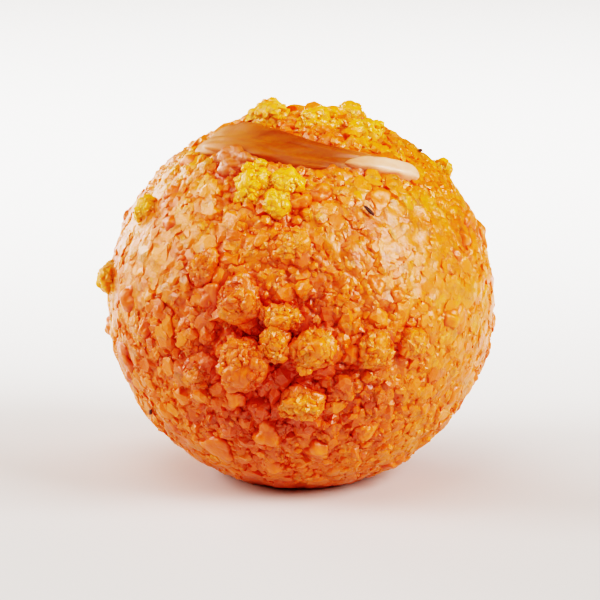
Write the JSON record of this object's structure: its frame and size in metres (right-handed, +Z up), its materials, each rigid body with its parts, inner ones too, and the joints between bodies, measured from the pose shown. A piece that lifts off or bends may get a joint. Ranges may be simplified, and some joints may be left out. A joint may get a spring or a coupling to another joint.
{
  "type": "boondi ladoo",
  "caption": "Round sweet of pressed, syrup-soaked boondi with a raisin and a melon seed in its top, resting on a small flat foot.",
  "frame": {"origin": "middle of the flat foot, on the surface the ladoo rests on", "axes": "+Z up, -Y the front, where the raisin and the seed show above loose boondi, +X to the right seen from the front"},
  "size_m": [0.0462, 0.0461, 0.0443],
  "materials": {
    "boondi": "moist orange gram-flour boondi, glazed with syrup and ghee",
    "raisin": "brown wrinkled raisin skin, sticky and half clear",
    "yellow_boondi": "boondi of undyed yellow batter, moist",
    "melon_seed": "peeled melon seed, cream, stained by syrup",
    "cardamom": "crushed cardamom seed, nearly black"
  },
  "bodies": {
    "root": {"boondi_ball": "boondi", "raisin": "raisin"}
  },
  "joints": []
}
